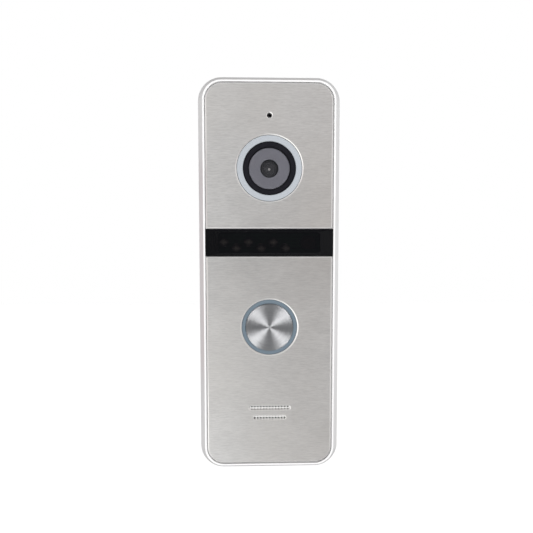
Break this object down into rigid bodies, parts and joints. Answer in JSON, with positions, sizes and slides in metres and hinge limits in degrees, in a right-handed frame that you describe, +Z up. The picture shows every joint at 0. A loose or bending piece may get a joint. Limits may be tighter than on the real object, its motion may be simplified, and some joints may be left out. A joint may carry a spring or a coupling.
{
  "type": "video intercom call station",
  "caption": "Slim wall-mounted outdoor call station with camera, night-light strip, ringed call button and speaker slots.",
  "frame": {"origin": "middle of the back face, where the steel bracket meets the wall", "axes": "+Z up the wall, +X to the right seen from the front, +Y into the wall; the front faces -Y"},
  "size_m": [0.0476, 0.0242, 0.1336],
  "materials": {
    "satin_silver": "satin silver paint on a zinc casting",
    "brushed_plate": "fine horizontal brushing",
    "brushed_cap": "concentric turning marks",
    "trim_blue_grey": "smooth satin blue-grey",
    "ring_blue_grey": "translucent light guide, unlit",
    "infrared_black": "polished black acrylic that infrared passes",
    "black_rubber": "moulded rubber",
    "glass": "coated optical glass",
    "filter_glass": "coated filter glass",
    "lens_grey": "anodised dark grey",
    "black_plastic": "fine-textured moulded plastic",
    "chip_black": "moulded package",
    "white_plastic": "moulded plastic",
    "grey_plastic": "moulded plastic",
    "relay_case": "moulded case",
    "board_green": "solder mask on glass-epoxy",
    "sensor_dark": "ceramic package under glass",
    "led_clear": "clear epoxy",
    "light_sensor": "coated sensor face",
    "adhesive": "double-sided tape",
    "foam": "closed-cell foam",
    "bright_steel": "nickel-plated steel",
    "zinc_steel": "zinc-plated pressed steel",
    "mesh_steel": "perforated stainless sheet",
    "cone_film": "formed polyester film",
    "capsule_metal": "drawn can",
    "ribbon_film": "flat cable film",
    "wire_sheath": "insulated wire"
  },
  "bodies": {
    "panel": {"audio_amplifier": "chip_black", "button_guide": "white_plastic", "button_light_ring": "ring_blue_grey", "button_return_spring": "bright_steel", "cable_grommet": "black_rubber", "camera_board": "board_green", "camera_board_screws": "bright_steel", "camera_ribbon": "ribbon_film", "filter_capacitors": "capsule_metal", "front_housing": "satin_silver", "housing_seal": "black_rubber", "image_sensor": "sensor_dark", "infrared_board_headers": "chip_black", "infrared_cut_filter": "filter_glass", "infrared_led_board": "board_green", "infrared_leds": "led_clear", "infrared_window": "infrared_black", "lens_barrel": "lens_grey", "lens_front_element": "glass", "lens_holder": "black_plastic", "lens_holder_screws": "bright_steel", "lens_rear_element": "glass", "lens_seal_ring": "black_rubber", "lens_trim_ring": "trim_blue_grey", "lens_window": "glass", "light_ring_screws": "bright_steel", "light_sensor": "light_sensor", "lock_relay": "relay_case", "lock_screw": "bright_steel", "lower_face_plate": "brushed_plate", "lower_plate_adhesive": "adhesive", "main_board": "board_green", "main_board_screws": "bright_steel", "microphone_boot": "black_rubber", "microphone_capsule": "capsule_metal", "microphone_leads": "wire_sheath", "rear_cover": "black_plastic", "rear_cover_screws": "bright_steel", "ribbon_sockets": "white_plastic", "ring_leds": "led_clear", "speaker_cone": "cone_film", "speaker_frame": "zinc_steel", "speaker_gasket": "foam", "speaker_leads": "wire_sheath", "speaker_magnet": "zinc_steel", "speaker_mesh": "mesh_steel", "switch_body": "black_plastic", "trimmer_body": "white_plastic", "trimmer_plug": "black_rubber", "upper_face_plate": "brushed_plate", "upper_plate_adhesive": "adhesive", "video_processor": "chip_black", "wall_bracket": "zinc_steel", "window_adhesive": "adhesive", "wire_header": "black_plastic"},
    "call_button": {"button_cap": "brushed_cap", "stem_seal_ring": "black_rubber", "stem_retaining_clip": "bright_steel"},
    "switch_plunger": {"switch_plunger": "grey_plastic"},
    "volume_rotor": {"trimmer_rotor": "grey_plastic"}
  },
  "joints": [
    {"name": "button_press", "type": "slide", "parent": "panel", "child": "call_button", "axis": [0, 1, 0], "range_m": [0, 0.0005], "stiffness_N_per_m": 800, "springref_m": -0.0015, "deforming": ["button_return_spring"]},
    {"name": "switch_press", "type": "slide", "parent": "panel", "child": "switch_plunger", "axis": [0, 1, 0], "range_m": [0, 0.0005]},
    {"name": "volume_turn", "type": "hinge", "parent": "panel", "child": "volume_rotor", "pos_m": [0.014, -0.0085, -0.016], "axis": [0, 1, 0], "range_deg": [-135, 135]}
  ],
  "couplings": [
    {"joint": "switch_press", "follows": "button_press", "ratio": 1}
  ]
}
